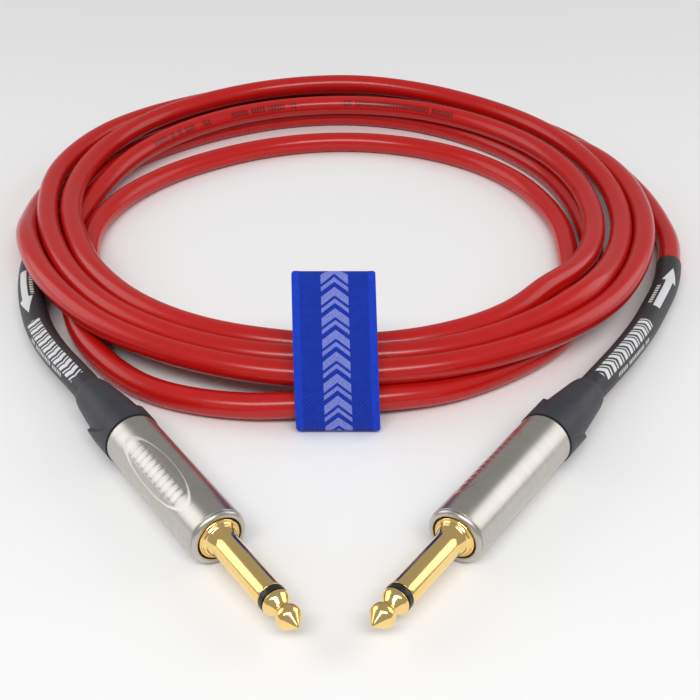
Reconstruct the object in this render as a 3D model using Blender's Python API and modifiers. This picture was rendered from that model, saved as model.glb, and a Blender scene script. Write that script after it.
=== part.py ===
"""Instrument cable: a coiled red cord with a straight 6.35 mm plug on each end, tied with a hook-and-loop strap.

Units are metres, +Z is up. The origin is on the surface that the cable lies on, in the middle of the two plugs,
their sleeves and the strap; the plugs point toward -Y and the coil lies toward +Y.
Each plug is built in its own frame: the origin is the centre of the shell's front face and +Z runs back along
the plug's axis, so the tip is at negative Z and the cord leaves at positive Z.
"""
import math

import bmesh
import bpy
from mathutils import Matrix, Vector

MM = 0.001
GAP = 0.3 * MM                      # clearance kept between neighbouring solids

# Cord
CORD_R = 3.35 * MM                  # 6.7 mm jacket
CORD_STEP = 13.0 * MM               # spacing of a tube's points, about two diameters

# Coil: the outer shape of five and a half turns, slightly longer than it is wide
COIL_CENTRE = Vector((-5.2, 105.1, 0.0)) * MM
COIL_HALF_X = 99.8 * MM
COIL_HALF_Y = 109.2 * MM
COIL_WIDTH = 26.0 * MM              # side by side strands
COIL_HEIGHT = 13.6 * MM             # two layers of cord
COIL_STEPS = 64
ROUNDNESS = 2.6                     # 2 is an elliptical section, and higher is squarer
TURN_CENTRE = Vector((1.0, 100.5, 0.0)) * MM    # centre that the loose turns are laid about

# Plug, lengths along its axis from the shell's front face
AXIS_HEIGHT = 6.8 * MM              # the shell lies on the surface
SHELL_R = 6.8 * MM
SHELL_LENGTH = 42.6 * MM
SHELL_BORE_R = 5.9 * MM             # round the gland's thread
SHELL_WAIST_R = 5.6 * MM            # round the contacts and tags
SHELL_MOUTH_R = 5.25 * MM
MOUTH_DEPTH = 2.8 * MM
RIM_ROUND = 0.9 * MM                # rounding of the rim round the mouth
COLLAR_R = SHELL_MOUTH_R - GAP      # the shaft's collar in the mouth
SHAFT_R = 3.175 * MM                # standard 6.35 mm plug
SHAFT_LENGTH = 31.8 * MM
RING_BACK = -21.2 * MM              # insulating ring between tip and sleeve contacts
RING_FRONT = -22.5 * MM
PIN_R = 0.8 * MM                    # from the tip to its tag
LINER_BORE_R = PIN_R + GAP          # insulating tube round the pin
LINER_R = 2.0 * MM
TUBE_BORE_R = LINER_R + GAP         # the shaft's tube round that
TUBE_R = 2.9 * MM
TUBE_BACK = 9.5 * MM
PIN_BACK = 14.0 * MM
LINER_BACK = 11.7 * MM
TAG_HEIGHT = 2.4 * MM               # width of a tag's tab
TAG_THICK = 0.6 * MM
CORE_R = 1.45 * MM
SHIELD_R = 0.8 * MM
BOOT_BACK = 66.5 * MM
BOOT_BACK_R = 4.8 * MM
BOOT_BORE_R = 4.2 * MM
CHUCK_FRONT = 30.0 * MM
CHUCK_BACK = 43.0 * MM
GLAND_FRONT = 35.5 * MM
GLAND_BACK = 57.0 * MM
JACKET_CUT = 30.0 * MM              # where the jacket is stripped
STRAIGHT = (30, 45, 60, 67, 74.5)   # mm behind the face, where the cord still lies on the plug's axis
TURN_STEPS = 24

# Heat-shrink sleeve over the cord behind each boot
SHRINK_R = 3.85 * MM
SHRINK_WALL = 0.35 * MM
SHRINK_FRONT = 50.0 * MM            # distance behind the shell's face, under the boot

# Strap
STRAP_WIDTH = 21.0 * MM
STRAP_X = -4.0 * MM
TAPE = 1.3 * MM
TAIL_TAPE = 1.0 * MM
PATCH = 0.5 * MM                    # thickness of the hooks' backing
STRAP_NOTCH = 2.2 * MM              # the strands rise this far over the tape under them

# Plug positions: centre of the shell's front face, heading of the axis from tip to cord, length of the sleeve,
# and the points that the cord passes through from behind the boot to the coil
PLUGS = {
    "left": {
        "face": Vector((-28.5, -53.7, 6.8)) * MM,
        "heading": math.radians(124.3),
        "sleeve": 101.0 * MM,
        "route": [(-78.6, 20.2, 5.8), (-85.4, 32.9, 4.8), (-90.6, 46.3, 4.1), (-94.4, 59.6, 3.95),
                  (-96.7, 73.6, 3.95), (-97.0, 86.0, 3.8), (-95.6, 98.0, 3.6)],
    },
    "right": {
        "face": Vector((21.9, -53.4, 6.8)) * MM,
        "heading": math.radians(55.3),
        "sleeve": 96.5 * MM,
        "route": [(72.9, 21.4, 5.8), (80.2, 34.3, 4.8), (86.4, 47.0, 4.1), (92.4, 60.4, 3.95),
                  (96.6, 75.0, 3.95), (99.0, 88.0, 3.7), (99.2, 100.5, 3.4), (96.0, 126.0, 3.4),
                  (89.5, 147.5, 3.4), (81.7, 161.3, 3.4), (73.2, 175.3, 3.4), (56.4, 189.2, 3.4)],
    },
}
# The loose inner turn: (degrees round TURN_CENTRE, radius in mm)
INNER_TURN = [(311, 84), (321, 74), (333, 67), (360, 65), (405, 63.5), (450, 66), (495, 70.5), (528, 78),
              (548, 85)]


def clear_scene():
    for obj in list(bpy.data.objects):
        bpy.data.objects.remove(obj, do_unlink=True)


def collection(name):
    made = bpy.data.collections.new(name)
    bpy.context.scene.collection.children.link(made)
    return made


def material(name, colour, roughness, metallic=0.0):
    made = bpy.data.materials.new(name)
    made.use_nodes = True
    shader = made.node_tree.nodes["Principled BSDF"]
    shader.inputs["Base Color"].default_value = (*colour, 1.0)
    shader.inputs["Roughness"].default_value = roughness
    shader.inputs["Metallic"].default_value = metallic
    return made


def place(obj, mat, parent=None, group=None):
    (group or PARTS).objects.link(obj)
    if mat:
        obj.data.materials.append(mat)
    obj.parent = parent
    return obj


def shade_round(mesh):
    mesh.shade_smooth()
    mesh.set_sharp_from_angle(angle=math.radians(35))


def turned(name, profile, mat, parent=None, closed=True, steps=TURN_STEPS):
    """A profile of (radius, height) in metres, down its outer side and up its inner side, turned round Z."""
    mesh = bpy.data.meshes.new(name)
    points = [(radius, 0.0, height) for radius, height in profile]
    edges = [(i, i + 1) for i in range(len(points) - 1)]
    if closed:
        edges.append((len(points) - 1, 0))
    mesh.from_pydata(points, edges, [])
    obj = place(bpy.data.objects.new(name, mesh), mat, parent)
    screw = obj.modifiers.new("Turn", "SCREW")
    screw.steps = screw.render_steps = steps
    screw.use_merge_vertices = True
    screw.merge_threshold = 0.00001
    screw.use_smooth_shade = True
    return obj


def smooth_path(points, step):
    """Points spaced about step apart on a Catmull-Rom curve through the given ones."""
    ends = [2 * points[0] - points[1], *points, 2 * points[-1] - points[-2]]
    fine = []
    for a, b, c, d in zip(ends, ends[1:], ends[2:], ends[3:]):
        for k in range(16):
            t = k / 16
            fine.append(0.5 * (2 * b + (c - a) * t + (2 * a - 5 * b + 4 * c - d) * t * t
                               + (3 * b - a - 3 * c + d) * t ** 3))
    fine.append(points[-1])
    lengths = [0.0]
    for a, b in zip(fine, fine[1:]):
        lengths.append(lengths[-1] + (b - a).length)
    count = max(2, round(lengths[-1] / step) + 1)
    path, i = [], 0
    for k in range(count):
        target = lengths[-1] * k / (count - 1)
        while i < len(lengths) - 2 and lengths[i + 1] < target:
            i += 1
        span = lengths[i + 1] - lengths[i]
        path.append(fine[i].lerp(fine[i + 1], (target - lengths[i]) / span))
    return path


def tube_curve(name, path, radius, caps=True, resolution=4):
    """A curve object of round section along the path."""
    curve = bpy.data.curves.new(name, "CURVE")
    curve.dimensions = "3D"
    curve.bevel_depth = radius
    curve.bevel_resolution = resolution
    curve.use_fill_caps = caps
    spline = curve.splines.new("POLY")
    spline.points.add(len(path) - 1)
    for point, place_at in zip(spline.points, path):
        point.co = (*place_at, 1.0)
    return bpy.data.objects.new(name, curve)


def as_mesh(obj, group):
    """The same shape as a welded mesh object, with the curve removed."""
    group.objects.link(obj)
    bpy.context.view_layer.update()
    evaluated = obj.evaluated_get(bpy.context.evaluated_depsgraph_get())
    mesh = bpy.data.meshes.new_from_object(evaluated)
    welded = bmesh.new()
    welded.from_mesh(mesh)
    bmesh.ops.remove_doubles(welded, verts=welded.verts, dist=0.00001)
    bmesh.ops.recalc_face_normals(welded, faces=welded.faces)
    welded.to_mesh(mesh)
    welded.free()
    name = obj.name
    made = bpy.data.objects.new(name, mesh)
    made.matrix_world = obj.matrix_world
    curve = obj.data
    bpy.data.objects.remove(obj)
    bpy.data.curves.remove(curve)
    made.name = name
    return made


def cutter(obj):
    if obj.name not in CUTTERS.objects:
        CUTTERS.objects.link(obj)
    obj.hide_render = True
    obj.display_type = "WIRE"
    return obj


def boolean(obj, other, operation="DIFFERENCE"):
    cut = obj.modifiers.new(operation.title(), "BOOLEAN")
    cut.operation = operation
    cut.object = other


def arc(centre, radius, start, end, count):
    """Points of a profile on an arc, angles in degrees from the radial direction."""
    points = []
    for k in range(count + 1):
        angle = math.radians(start + (end - start) * k / count)
        points.append((centre[0] + radius * math.cos(angle), centre[1] + radius * math.sin(angle)))
    return points


def box(name, size, centre, mat=None, parent=None, group=None):
    mesh = bpy.data.meshes.new(name)
    solid = bmesh.new()
    bmesh.ops.create_cube(solid, size=1.0)
    bmesh.ops.scale(solid, vec=size, verts=solid.verts)
    bmesh.ops.translate(solid, vec=centre, verts=solid.verts)
    solid.to_mesh(mesh)
    solid.free()
    return place(bpy.data.objects.new(name, mesh), mat, parent, group)


# ---------------------------------------------------------------- plug

def plug_frame(side):
    """An empty at the centre of the shell's front face, with +Z back along the axis and +Y up."""
    back = Vector((math.cos(PLUGS[side]["heading"]), math.sin(PLUGS[side]["heading"]), 0.0))
    up = Vector((0.0, 0.0, 1.0))
    across = up.cross(back)
    turn = Matrix((across, up, back)).transposed()
    empty = bpy.data.objects.new(side + "_plug_frame", None)
    PARTS.objects.link(empty)
    empty.matrix_world = Matrix.Translation(PLUGS[side]["face"]) @ turn.to_4x4()
    return empty


def tip_contact(side, frame):
    """The pointed tip, its neck, and the pin that runs back through the shaft to the tip's solder tag."""
    apex = -SHAFT_LENGTH
    ball = arc((1.05 * MM, apex + 4.3 * MM), 1.7 * MM, 75, -30, 4)
    shoulder = RING_FRONT - GAP
    profile = [(0.0, PIN_BACK), (PIN_R, PIN_BACK), (PIN_R, shoulder),
               (3.0 * MM, shoulder), (SHAFT_R - 0.05 * MM, shoulder - 0.3 * MM),
               (2.85 * MM, shoulder - 1.4 * MM), (1.75 * MM, apex + 6.6 * MM),
               *ball, (0.9 * MM, apex + 0.7 * MM), (0.0, apex)]
    turned(side + "_tip_contact", profile, GOLD, frame, closed=False)


def tip_insulator(side, frame):
    """The black ring between tip and shaft, and the tube behind it that lines the shaft."""
    profile = [(LINER_R, LINER_BACK), (LINER_R, RING_BACK), (SHAFT_R, RING_BACK), (SHAFT_R, RING_FRONT),
               (LINER_BORE_R, RING_FRONT), (LINER_BORE_R, LINER_BACK)]
    turned(side + "_tip_insulator", profile, BLACK_PLASTIC, frame)


def sleeve_contact(side, frame):
    """The gold shaft with its stepped collar in the shell's mouth and the tube that the ground tag sits on."""
    front = RING_BACK + GAP
    collar_back = MOUTH_DEPTH - 0.2 * MM
    profile = [(TUBE_R, TUBE_BACK), (TUBE_R, collar_back), (COLLAR_R, collar_back), (COLLAR_R, -0.1 * MM),
               (4.45 * MM, -0.4 * MM), (4.1 * MM, -0.4 * MM), (3.9 * MM, -1.2 * MM), (3.5 * MM, -1.6 * MM),
               (SHAFT_R, -1.8 * MM), (SHAFT_R, front), (TUBE_BORE_R, front), (TUBE_BORE_R, TUBE_BACK)]
    turned(side + "_sleeve_contact", profile, GOLD, frame)


def rear_insulator(side, frame):
    """The washer that keeps the tip's tag off the ground tag."""
    inner, outer, front, back = LINER_R + 0.4 * MM, 3.05 * MM, TUBE_BACK + 0.4 * MM, LINER_BACK - 0.5 * MM
    profile = [(outer, back), (outer, front), (inner, front), (inner, back)]
    turned(side + "_rear_insulator", profile, BLACK_PLASTIC, frame)


def solder_tag(name, inner, outer, front, thick, tab, frame):
    """A washer with a tab bent back along the plug; tab is (offset from the axis, back end)."""
    profile = [(outer, front + thick), (outer, front), (inner, front), (inner, front + thick)]
    tag = turned(name, profile, BRASS, frame)
    offset, back = tab
    start = front + 0.1 * MM
    lug = box(name + "_tab", (TAG_HEIGHT, TAG_THICK, back - start), (0.0, offset, (start + back) / 2),
              parent=frame, group=CUTTERS)
    boolean(tag, cutter(lug), "UNION")


def tags(side, frame):
    solder_tag(side + "_ground_lug", 3.2 * MM, 5.3 * MM, 2.95 * MM, 0.8 * MM, (-4.9 * MM, 9.5 * MM), frame)
    solder_tag(side + "_tip_lug", 1.1 * MM, 3.0 * MM, 12.1 * MM, 0.7 * MM, (2.4 * MM, 20.0 * MM), frame)


def inner_wires(side, frame):
    """The insulated core that goes to the tip's tag and the twisted shield that goes to the ground tag."""
    core = [Vector((0, 0.3, 20.4)) * MM, Vector((0, 0.1, 24)) * MM, Vector((0, 0, 29.6)) * MM]
    place(tube_curve(side + "_core_wire", core, CORE_R, resolution=2), WIRE_WHITE, frame)
    shield = [Vector((0, -4.2, 10.4)) * MM, Vector((0, -4.2, 16)) * MM, Vector((0, -3.2, 24)) * MM,
              Vector((0, -2.6, 29.6)) * MM]
    place(tube_curve(side + "_shield_pigtail", shield, SHIELD_R, resolution=2), COPPER, frame)


def shell(side, frame):
    """The nickel barrel: a rounded front rim round the shaft's collar, open at the back for the gland."""
    rim = arc((SHELL_R - RIM_ROUND, RIM_ROUND), RIM_ROUND, 0, -90, 3)
    profile = [(SHELL_R, SHELL_LENGTH), *rim, (SHELL_MOUTH_R, 0.0), (SHELL_MOUTH_R, MOUTH_DEPTH),
               (SHELL_WAIST_R, MOUTH_DEPTH), (SHELL_WAIST_R, 30.0 * MM), (SHELL_BORE_R, 30.6 * MM),
               (SHELL_BORE_R, SHELL_LENGTH)]
    turned(side + "_shell", profile, NICKEL, frame, steps=28)


def chuck(side, frame):
    """The slotted collet that the gland squeezes onto the jacket."""
    profile = [(4.5 * MM, CHUCK_BACK - 2.0 * MM), (4.5 * MM, CHUCK_FRONT), (3.65 * MM, CHUCK_FRONT),
               (3.65 * MM, CHUCK_BACK), (3.95 * MM, CHUCK_BACK)]
    made = turned(side + "_chuck", profile, GREY_PLASTIC, frame)
    for k in range(2):
        turn = Matrix.Rotation(math.radians(45 + 90 * k), 3, "Z")
        slot = box(side + f"_chuck_slot_{k}", (10 * MM, 0.9 * MM, 8 * MM),
                   (0.0, 0.0, CHUCK_BACK - 3.0 * MM), parent=frame, group=CUTTERS)
        slot.data.transform(turn.to_4x4())
        boolean(made, cutter(slot))


def gland(side, frame):
    """The threaded bush that screws into the shell's back; its long collar carries the boot."""
    profile = [(5.2 * MM, GLAND_BACK), (5.2 * MM, 49.5 * MM), (5.55 * MM, 48.9 * MM), (5.55 * MM, GLAND_FRONT),
               (4.85 * MM, GLAND_FRONT), (4.85 * MM, 50.0 * MM), (BOOT_BORE_R, 50.8 * MM),
               (BOOT_BORE_R, GLAND_BACK)]
    turned(side + "_gland", profile, BLACK_PLASTIC, frame)


def boot(side, frame):
    """The rubber boot: a collar as wide as the shell, a cone, and a thin lip round the sleeve."""
    front = SHELL_LENGTH + GAP
    collar_r, thread_r, neck_r = SHELL_R - 0.1 * MM, 5.85 * MM, 5.5 * MM
    profile = [(BOOT_BACK_R - 0.4 * MM, BOOT_BACK), (BOOT_BACK_R, BOOT_BACK - 1.0 * MM),
               (BOOT_BACK_R + 0.3 * MM, BOOT_BACK - 3.5 * MM), (6.4 * MM, front + 9.0 * MM),
               (collar_r, front + 6.0 * MM), (collar_r, front), (thread_r, front), (thread_r, 49.0 * MM),
               (neck_r, 49.4 * MM), (neck_r, GLAND_BACK + GAP), (BOOT_BORE_R, GLAND_BACK + GAP),
               (BOOT_BORE_R, BOOT_BACK)]
    turned(side + "_boot", profile, RUBBER, frame)


def cord_points(side):
    """The cord's own route from the jacket's cut end, straight through the boot, to the coil."""
    back = Vector((math.cos(PLUGS[side]["heading"]), math.sin(PLUGS[side]["heading"]), 0.0))
    face = PLUGS[side]["face"]
    straight = [face + back * distance * MM for distance in STRAIGHT]
    return straight + [Vector(point) * MM for point in PLUGS[side]["route"]]


def cut_to(path, start, length):
    """The stretch of a path from start to start + length, measured along it."""
    out, travelled = [], 0.0
    for a, b in zip(path, path[1:]):
        span = (b - a).length
        if travelled <= start < travelled + span:
            out.append(a.lerp(b, (start - travelled) / span))
        elif out and travelled < start + length:
            out.append(a.copy())
        if travelled < start + length <= travelled + span:
            out.append(a.lerp(b, (start + length - travelled) / span))
            break
        travelled += span
    return out


def cord_end(side):
    """The tube from the stripped end inside the plug to the coil, and the channel it needs in the coil."""
    path = smooth_path(cord_points(side), CORD_STEP)
    end = place(tube_curve("cord_end_" + side, path, CORD_R), JACKET)
    beyond = path[-1] + (path[-1] - path[-2]).normalized() * GAP
    channel = as_mesh(tube_curve("channel_" + side, [*path[4:], beyond], SHRINK_R + GAP), CUTTERS)
    return end, cutter(channel)


def heatshrink(side):
    """The hollow sleeve over the cord, from inside the boot to its cut edge by the coil."""
    path = smooth_path(cord_points(side), CORD_STEP)
    stretch = cut_to(path, SHRINK_FRONT - JACKET_CUT, PLUGS[side]["sleeve"])
    sleeve = as_mesh(tube_curve(side + "_heatshrink", stretch, SHRINK_R, caps=False), PARTS)
    place(sleeve, SHRINK_PLASTIC)
    wall = sleeve.modifiers.new("Wall", "SOLIDIFY")
    wall.thickness = SHRINK_WALL
    wall.offset = -1.0


def plug(side):
    frame = plug_frame(side)
    for make in (tip_contact, tip_insulator, sleeve_contact, rear_insulator, tags, inner_wires, shell, chuck,
                 gland, boot):
        make(side, frame)
    heatshrink(side)


# ---------------------------------------------------------------- coil and strap

def inner_turn():
    """The one turn that lies loose inside the coil, and the channels where it slips under the others."""
    points = []
    for degrees, radius in INNER_TURN:
        angle = math.radians(degrees)
        points.append(TURN_CENTRE + Vector((radius * math.cos(angle), radius * math.sin(angle), 3.4)) * MM)
    path = smooth_path(points, CORD_STEP)
    loose = place(tube_curve("cord_inner_turn", path, CORD_R), JACKET)
    first = path[0] + (path[0] - path[1]).normalized() * GAP
    last = path[-1] + (path[-1] - path[-2]).normalized() * GAP
    channels = []
    for name, stretch in (("start", [first, *path[:8]]), ("end", [*path[-8:], last])):
        channels.append(cutter(as_mesh(tube_curve("channel_inner_" + name, stretch, CORD_R + GAP), CUTTERS)))
    return loose, channels


def coil(channels):
    """One ring the size of the bundle, flat underneath, with a notch for the strap and channels for loose cord."""
    middle = COIL_HALF_X - COIL_WIDTH / 2
    half_width, half_height = COIL_WIDTH / 2, COIL_HEIGHT / 2
    profile = []
    for k in range(16):
        angle = math.radians(90 - 22.5 * k)
        x, z = math.cos(angle), math.sin(angle)
        bulge = (abs(x) ** ROUNDNESS + abs(z) ** ROUNDNESS) ** (-1 / ROUNDNESS)
        flattened = max(-1.0, min(1.0, 1.05 * z * bulge))
        profile.append((middle + half_width * x * bulge, half_height + half_height * flattened))
    ring = turned("coil", profile, JACKET, steps=COIL_STEPS)
    ring.location = COIL_CENTRE
    ring.scale = (1.0, COIL_HALF_Y / COIL_HALF_X, 1.0)
    notch = box("strap_notch", (STRAP_WIDTH + 2 * MM, 44 * MM, 2 * STRAP_NOTCH),
                (STRAP_X, 10 * MM, 0.0), group=CUTTERS)
    boolean(ring, cutter(notch))
    for channel in channels:
        boolean(ring, channel)
    return ring


def tape_outline(path, half):
    """Both sides of a tape whose centre line is the given closed path of (y, z), as outer and inner loops."""
    outer, inner = [], []
    count = len(path)
    for k, point in enumerate(path):
        along = (path[(k + 1) % count] - path[k - 1]).normalized()
        out = Vector((along.y, -along.x))
        outer.append(point + out * half)
        inner.append(point - out * half)
    return outer, inner


def extruded(name, loops, width, mat):
    """Flat outlines in the YZ plane, extruded evenly to both sides of the strap's middle."""
    curve = bpy.data.curves.new(name, "CURVE")
    curve.dimensions = "2D"
    curve.fill_mode = "BOTH"
    curve.extrude = width / 2
    for loop in loops:
        spline = curve.splines.new("POLY")
        spline.points.add(len(loop) - 1)
        spline.use_cyclic_u = True
        for point, (y, z) in zip(spline.points, loop):
            point.co = (y, z, 0.0, 1.0)
    obj = place(bpy.data.objects.new(name, curve), mat)
    # The curve's own X, Y and Z become the object's Y, Z and X.
    obj.matrix_world = Matrix(((0, 0, 1, STRAP_X), (1, 0, 0, 0), (0, 1, 0, 0), (0, 0, 0, 1)))
    return obj


def strap_band():
    """The tape's closed loop: flat under the strands, up their front, over a high ridge and down behind them."""
    corners = [(-5.2, 0.65), (9.0, 0.65), (24.0, 0.65), (25.8, 1.6), (26.4, 4.0), (26.2, 10.0), (16.4, 32.2),
               (15.6, 33.3), (14.4, 33.7), (13.2, 33.3), (12.2, 32.2), (-4.9, 9.9), (-6.1, 6.9), (-6.5, 3.8),
               (-6.3, 1.7)]
    path = [Vector(point) * MM for point in corners]
    outer, inner = tape_outline(path, TAPE / 2)
    extruded("strap_band", [outer, inner], STRAP_WIDTH, BLUE_WEAVE)


def lying_strip(name, start, end, offset, thick, width, mat):
    """A flat strip parallel to the line from start to end in the YZ plane, offset outward from it."""
    along = (end - start).normalized()
    out = Vector((-along.y, along.x))
    near, far = out * offset, out * (offset + thick)
    extruded(name, [[start + near, end + near, end + far, start + far]], width, mat)


def strap_tail():
    """The end of the tape that peels off the loop's back, with its patch of hooks underneath."""
    top = Vector((16.4, 32.2)) * MM
    foot = Vector((26.2, 10.0)) * MM
    run = foot - top
    start, end = top + run * 0.22, top + run * 0.97
    hook_start, hook_end = top + run * 0.30, top + run * 0.93
    patch_at = TAPE / 2 + GAP
    lying_strip("strap_hook_patch", hook_start, hook_end, patch_at, PATCH, STRAP_WIDTH - 3 * MM, HOOKS)
    lying_strip("strap_tail", start, end, patch_at + PATCH + GAP, TAIL_TAPE, STRAP_WIDTH, BLUE_WEAVE)


clear_scene()
PARTS = collection("instrument_cable")
CUTTERS = collection("cutters")
JACKET = material("red_jacket", (0.58, 0.012, 0.012), 0.28)
SHRINK_PLASTIC = material("black_heatshrink", (0.035, 0.035, 0.04), 0.5)
RUBBER = material("boot_rubber", (0.045, 0.045, 0.055), 0.55)
NICKEL = material("satin_nickel", (0.62, 0.60, 0.56), 0.3, 1.0)
GOLD = material("gold_plate", (0.9, 0.66, 0.24), 0.15, 1.0)
BLACK_PLASTIC = material("black_plastic", (0.02, 0.02, 0.025), 0.4)
GREY_PLASTIC = material("grey_plastic", (0.25, 0.25, 0.27), 0.5)
BRASS = material("tinned_brass", (0.7, 0.6, 0.4), 0.35, 1.0)
COPPER = material("bare_copper", (0.75, 0.4, 0.25), 0.4, 1.0)
WIRE_WHITE = material("core_insulation", (0.8, 0.8, 0.76), 0.5)
BLUE_WEAVE = material("blue_tape", (0.01, 0.06, 0.5), 0.8)
HOOKS = material("blue_hooks", (0.01, 0.05, 0.35), 0.7)

for side_name in PLUGS:
    plug(side_name)
ENDS = [cord_end(side_name)[1] for side_name in PLUGS]
LOOSE = inner_turn()[1]
coil(ENDS + LOOSE)
strap_band()
strap_tail()
for solid in PARTS.objects:
    if solid.type == "MESH":
        shade_round(solid.data)
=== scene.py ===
"""Looks of a coiled instrument cable: red cord, two straight plugs, two printed sleeves and a woven strap.

Lengths are metres in the CAD frame; the listed points of the cord and the strap are in millimetres. Each
plug is built in its own frame: the origin is the centre of the shell's front face and +Z runs back along the
axis, so the tip is at negative Z.
"""

import math

import bmesh
import bpy
import numpy as np
from mathutils import Matrix, Vector


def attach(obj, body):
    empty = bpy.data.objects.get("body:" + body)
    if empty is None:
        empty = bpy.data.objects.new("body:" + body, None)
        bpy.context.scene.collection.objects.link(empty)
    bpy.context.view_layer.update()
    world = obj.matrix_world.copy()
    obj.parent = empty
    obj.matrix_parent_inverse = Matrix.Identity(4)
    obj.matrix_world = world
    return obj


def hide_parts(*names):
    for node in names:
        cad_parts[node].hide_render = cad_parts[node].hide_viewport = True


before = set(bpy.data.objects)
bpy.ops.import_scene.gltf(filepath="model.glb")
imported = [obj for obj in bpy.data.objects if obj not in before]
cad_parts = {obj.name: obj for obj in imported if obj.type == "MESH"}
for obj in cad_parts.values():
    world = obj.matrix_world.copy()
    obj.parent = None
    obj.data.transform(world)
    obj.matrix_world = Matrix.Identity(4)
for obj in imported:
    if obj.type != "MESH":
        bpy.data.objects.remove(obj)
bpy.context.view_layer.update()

MM = 0.001

# Cord
CORD_R = 3.4 * MM
CORD_STEP = 4.0 * MM                # spacing of the route's points
CORD_SIDES = 28
SLEEVE_SIDES = 40
HELD_END = 60.0 * MM                # stretch at each end that other strands don't push aside
JACKET_CUT = 30.0 * MM              # behind the shell's face, inside the plug
TURN_CENTRE = (1.0, 100.5)          # mm
TURN_STEP = 15.0                    # degrees between the points worked out on a turn

# Sleeves
SHRINK_R = 3.75 * MM
SHRINK_WALL = 0.33 * MM
SHRINK_FRONT = 50.0 * MM            # behind the shell's face

# Plugs: the shell's front face and the cord's route behind the plug in mm, and the axis's heading in degrees
PLUGS = {
    "left": {"face": (-28.5, -53.7, 6.8), "heading": 124.3, "sleeve": 101.0 * MM,
             "route": [(-78.6, 20.2, 5.8), (-85.4, 32.9, 4.8), (-90.6, 46.3, 4.1), (-94.4, 59.6, 3.95),
                       (-96.7, 73.6, 3.95), (-97.0, 86.0, 3.8), (-95.6, 98.0, 3.6)]},
    "right": {"face": (21.9, -53.4, 6.8), "heading": 55.3, "sleeve": 96.5 * MM,
              "route": [(72.9, 21.4, 5.8), (80.2, 34.3, 4.8), (86.4, 47.0, 4.1), (92.4, 60.4, 3.95),
                        (96.6, 75.0, 3.95), (99.0, 88.0, 3.7)]},
}
STRAIGHT = (30, 45, 60, 67, 74.5)   # mm behind the face, where the cord still lies on the plug's axis
SHELL_R = 6.8 * MM
SHELL_LENGTH = 42.6 * MM
MOUTH_R = 5.3 * MM
SHAFT_R = 3.175 * MM
SHAFT_LENGTH = 31.8 * MM
RING_BACK = -21.2 * MM
RING_FRONT = -22.5 * MM
BOOT_FRONT = 42.9 * MM
BOOT_BACK = 66.5 * MM

# Strap
STRAP_X = -4.0 * MM
STRAP_WIDTH = 21.0 * MM
TAPE = 1.1 * MM
TAPE_LOWEST = 0.56 * TAPE           # height of the tape's middle where it lies on the surface
# The strap's outline as (y, z) in mm
STRAP_LINE = [
    (-5.2, .65), (9, .65), (24, .65), (25.8, 1.6), (26.4, 4), (26.2, 10), (16.4, 32.2), (15.6, 33.3),
    (14.4, 33.7), (13.2, 33.3), (12.2, 32.2), (-4.9, 9.9), (-6.3, 6.9), (-7.0, 3.8), (-6.9, 1.7),
]

# The turns of the coil, as (degrees round TURN_CENTRE, radius in mm, height of the centreline in mm)
TURNS = [
    (0, 98.2, 3.4), (15, 98.4, 3.4), (28, 100.2, 3.4), (37, 101.0, 3.4), (46, 104, 3.4), (70, 105, 3.4),
    (90, 105, 3.4), (110, 104, 3.4), (135, 105, 3.4), (155, 106.3, 3.4), (168, 105.3, 3.6), (180, 103, 5.8),
    (196, 101.3, 10), (225, 99.5, 10.3), (270, 95.7, 10.2), (315, 92, 10.2), (360, 90.4, 10.2),
    (390, 92.3, 8.6), (405, 94.5, 5.6), (420, 98, 5.4), (435, 100.8, 8.4), (450, 103.8, 9.8),
    (465, 105.8, 9.4), (480, 106.8, 8.8), (495, 107, 9), (515, 105.2, 10), (530, 101.4, 10.2),
    (541, 97.6, 10.2), (550, 95.3, 10.2), (562, 93.5, 10.2), (585, 92, 10.2), (630, 89.4, 10.2),
    (675, 85.5, 10.2), (720, 84, 10.2), (765, 91, 10.6), (780, 93.8, 11.2), (795, 96.4, 12.2),
    (810, 99.6, 12.6), (825, 101.3, 12.2), (840, 102, 11.4), (855, 101.7, 10.6), (880, 95.6, 10.4),
    (898, 91, 10.4), (911, 88, 10.3), (945, 87, 10.2), (990, 83.2, 10.2), (1035, 79, 10.2),
    (1080, 75, 10.2), (1125, 79, 10.2), (1170, 87, 9.4), (1215, 88.5, 8.5), (1235, 90, 6), (1255, 90, 3.5),
    (1280, 92, 3.4), (1298, 98.5, 3.4), (1304, 101.8, 3.4), (1313, 105, 3.4), (1323, 107.5, 3.4),
    (1332, 106, 3.7), (1341, 102.6, 4.6), (1354, 98.5, 4.6), (1363, 96.6, 3.8), (1374, 92.5, 3.4),
    (1385, 88, 3.4), (1400, 80.5, 3.4), (1416, 71.5, 3.4), (1440, 66, 3.4), (1485, 64.5, 3.4),
    (1530, 66, 3.4), (1575, 71, 3.4), (1608, 80, 3.4), (1628, 84.5, 3.4), (1650, 85, 3.4), (1672, 85, 3.4),
    (1690, 85.5, 3.8), (1702, 87.5, 4.6), (1715, 90.3, 4.4), (1730, 88, 3.4), (1755, 83, 3.4),
    (1800, 74, 3.4), (1845, 80, 3.4), (1890, 90.8, 3.4), (1935, 92, 3.4), (1960, 94.5, 3.4),
]


# ---------------------------------------------------------------- node materials

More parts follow.
